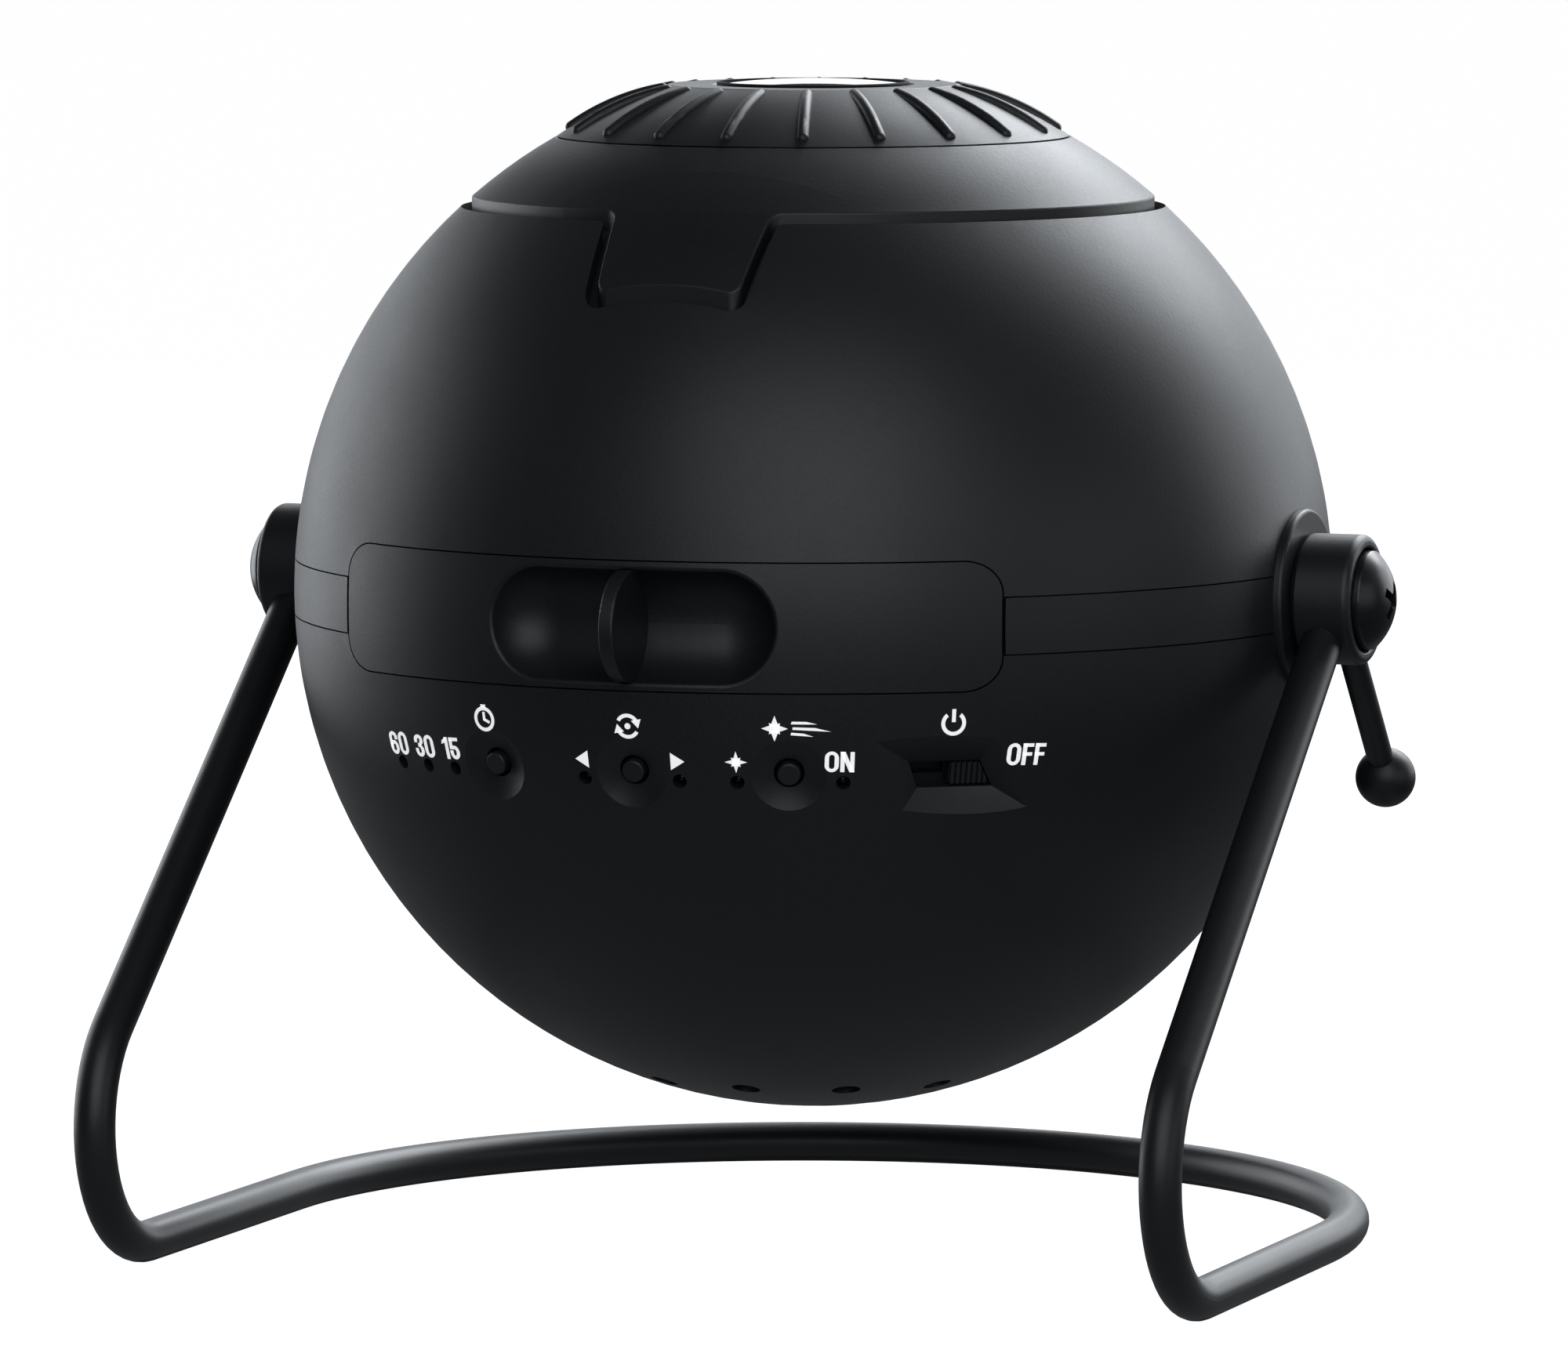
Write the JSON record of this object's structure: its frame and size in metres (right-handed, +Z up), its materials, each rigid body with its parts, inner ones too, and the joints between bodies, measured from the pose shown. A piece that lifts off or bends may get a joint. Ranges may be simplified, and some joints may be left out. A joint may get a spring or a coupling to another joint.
{
  "type": "planetarium projector",
  "caption": "Globe-shaped home star projector that tilts in a bent-rod stand, with a focus ring on top, a front disc drawer, buttons and a power slider.",
  "frame": {"origin": "on the table, straight below the middle of the overall box; the globe's tilt axis is 89.7 mm above the table", "axes": "+Z up; +X to the right along the tilt axis, the longest extent; the front, with the drawer and buttons, faces -Y"},
  "size_m": [0.166, 0.1508, 0.1586],
  "materials": {
    "aluminium": "satin",
    "black_gloss": "glossy black",
    "black_plastic": "fine-grained satin black",
    "black_steel": "satin black paint",
    "board_green": "solder mask",
    "brass": "machined",
    "clear_glass": "coated, clear",
    "disc_film": "dark film between clear sheets",
    "steel": "zinc plated",
    "white_plastic": "satin white"
  },
  "bodies": {
    "stand": {"stand_rod": "black_steel", "collar_right": "black_plastic", "collar_left": "black_plastic"},
    "clamp_foot": {"clamp_pad": "brass"},
    "clamp_screw": {"clamp_stem": "black_steel", "clamp_ball": "black_plastic"},
    "globe": {"pivot_screw_right": "black_gloss", "pivot_screw_left": "black_gloss", "pivot_plate_right": "black_plastic", "pivot_plate_left": "black_plastic", "pivot_washer_right": "white_plastic", "pivot_washer_left": "white_plastic", "upper_shell": "black_plastic", "lower_shell": "black_plastic", "equator_band": "black_plastic", "shell_screws": "steel", "top_cover": "black_plastic", "focus_sleeve": "black_plastic", "upper_deck": "black_plastic", "deck_posts": "brass", "deck_screws": "steel", "chassis_plate": "black_plastic", "tray_rails": "black_plastic", "drive_motor": "steel", "lamp_tube": "black_plastic", "condenser_lens": "clear_glass", "lamp_board": "aluminium", "lamp_led": "white_plastic", "heat_sink": "aluminium", "control_board": "board_green", "tact_switches": "black_gloss", "indicator_leds": "black_gloss", "slide_switch": "black_gloss", "power_inlet": "black_gloss", "meteor_lamp": "white_plastic", "meteor_bracket": "steel"},
    "focus_ring": {"focus_ring": "black_plastic"},
    "lens_barrel": {"lens_barrel": "black_plastic", "front_lens": "clear_glass", "rear_lens": "clear_glass", "rear_lens_ring": "aluminium"},
    "tray": {"tray_front": "black_plastic", "tray_frame": "black_plastic"},
    "disc": {"disc_carrier": "white_plastic", "star_disc": "disc_film", "disc_clip": "steel"},
    "drive": {"drive_shaft": "steel", "drive_pinion": "brass"},
    "timer_button": {"timer_button": "black_plastic"},
    "motion_button": {"motion_button": "black_plastic"},
    "meteor_button": {"meteor_button": "black_plastic"},
    "power_slider": {"power_slider": "black_plastic"}
  },
  "joints": [
    {"name": "globe_tilt", "type": "hinge", "parent": "stand", "child": "globe", "pos_m": [0, 0.00255, 0.0897], "axis": [1, 0, 0], "range_deg": [-60, 60]},
    {"name": "clamp_travel", "type": "slide", "parent": "stand", "child": "clamp_foot", "axis": [0, 0.6481, -0.7615], "range_m": [0, 0.0005]},
    {"name": "clamp_turn", "type": "hinge", "parent": "clamp_foot", "child": "clamp_screw", "pos_m": [0.07505, 0.01551, 0.07447], "axis": [0, 0.6481, -0.7615], "range_deg": [0, 360]},
    {"name": "focus_turn", "type": "hinge", "parent": "globe", "child": "focus_ring", "pos_m": [0, 0.00255, 0.155], "axis": [0, 0, 1], "range_deg": [-60, 60]},
    {"name": "lens_travel", "type": "slide", "parent": "globe", "child": "lens_barrel", "axis": [0, 0, 1], "range_m": [-0.0015, 0.0015]},
    {"name": "tray_slide", "type": "slide", "parent": "globe", "child": "tray", "axis": [0, -1, 0], "range_m": [0, 0.096]},
    {"name": "disc_spin", "type": "hinge", "parent": "tray", "child": "disc", "pos_m": [0, 0.00255, 0.0891], "axis": [0, 0, 1], "continuous": true},
    {"name": "drive_spin", "type": "hinge", "parent": "globe", "child": "drive", "pos_m": [0, 0.03698, 0.0891], "axis": [0, 0, 1], "continuous": true},
    {"name": "timer_press", "type": "slide", "parent": "globe", "child": "timer_button", "axis": [0.2931, 0.9185, 0.2656], "range_m": [0, 0.0006], "stiffness_N_per_m": 800, "springref_m": -0.0006},
    {"name": "motion_press", "type": "slide", "parent": "globe", "child": "motion_button", "axis": [0, 0.9641, 0.2656], "range_m": [0, 0.0006], "stiffness_N_per_m": 800, "springref_m": -0.0006},
    {"name": "meteor_press", "type": "slide", "parent": "globe", "child": "meteor_button", "axis": [-0.2931, 0.9185, 0.2656], "range_m": [0, 0.0006], "stiffness_N_per_m": 800, "springref_m": -0.0006},
    {"name": "power_slide", "type": "slide", "parent": "globe", "child": "power_slider", "axis": [-0.8151, -0.5793, 0], "range_m": [0, 0.0042]}
  ],
  "couplings": [
    {"joint": "clamp_turn", "follows": "clamp_travel", "rad_per_m": 12565},
    {"joint": "focus_turn", "follows": "lens_travel", "rad_per_m": 698.06},
    {"joint": "drive_spin", "follows": "disc_spin", "ratio": -6.1667}
  ]
}
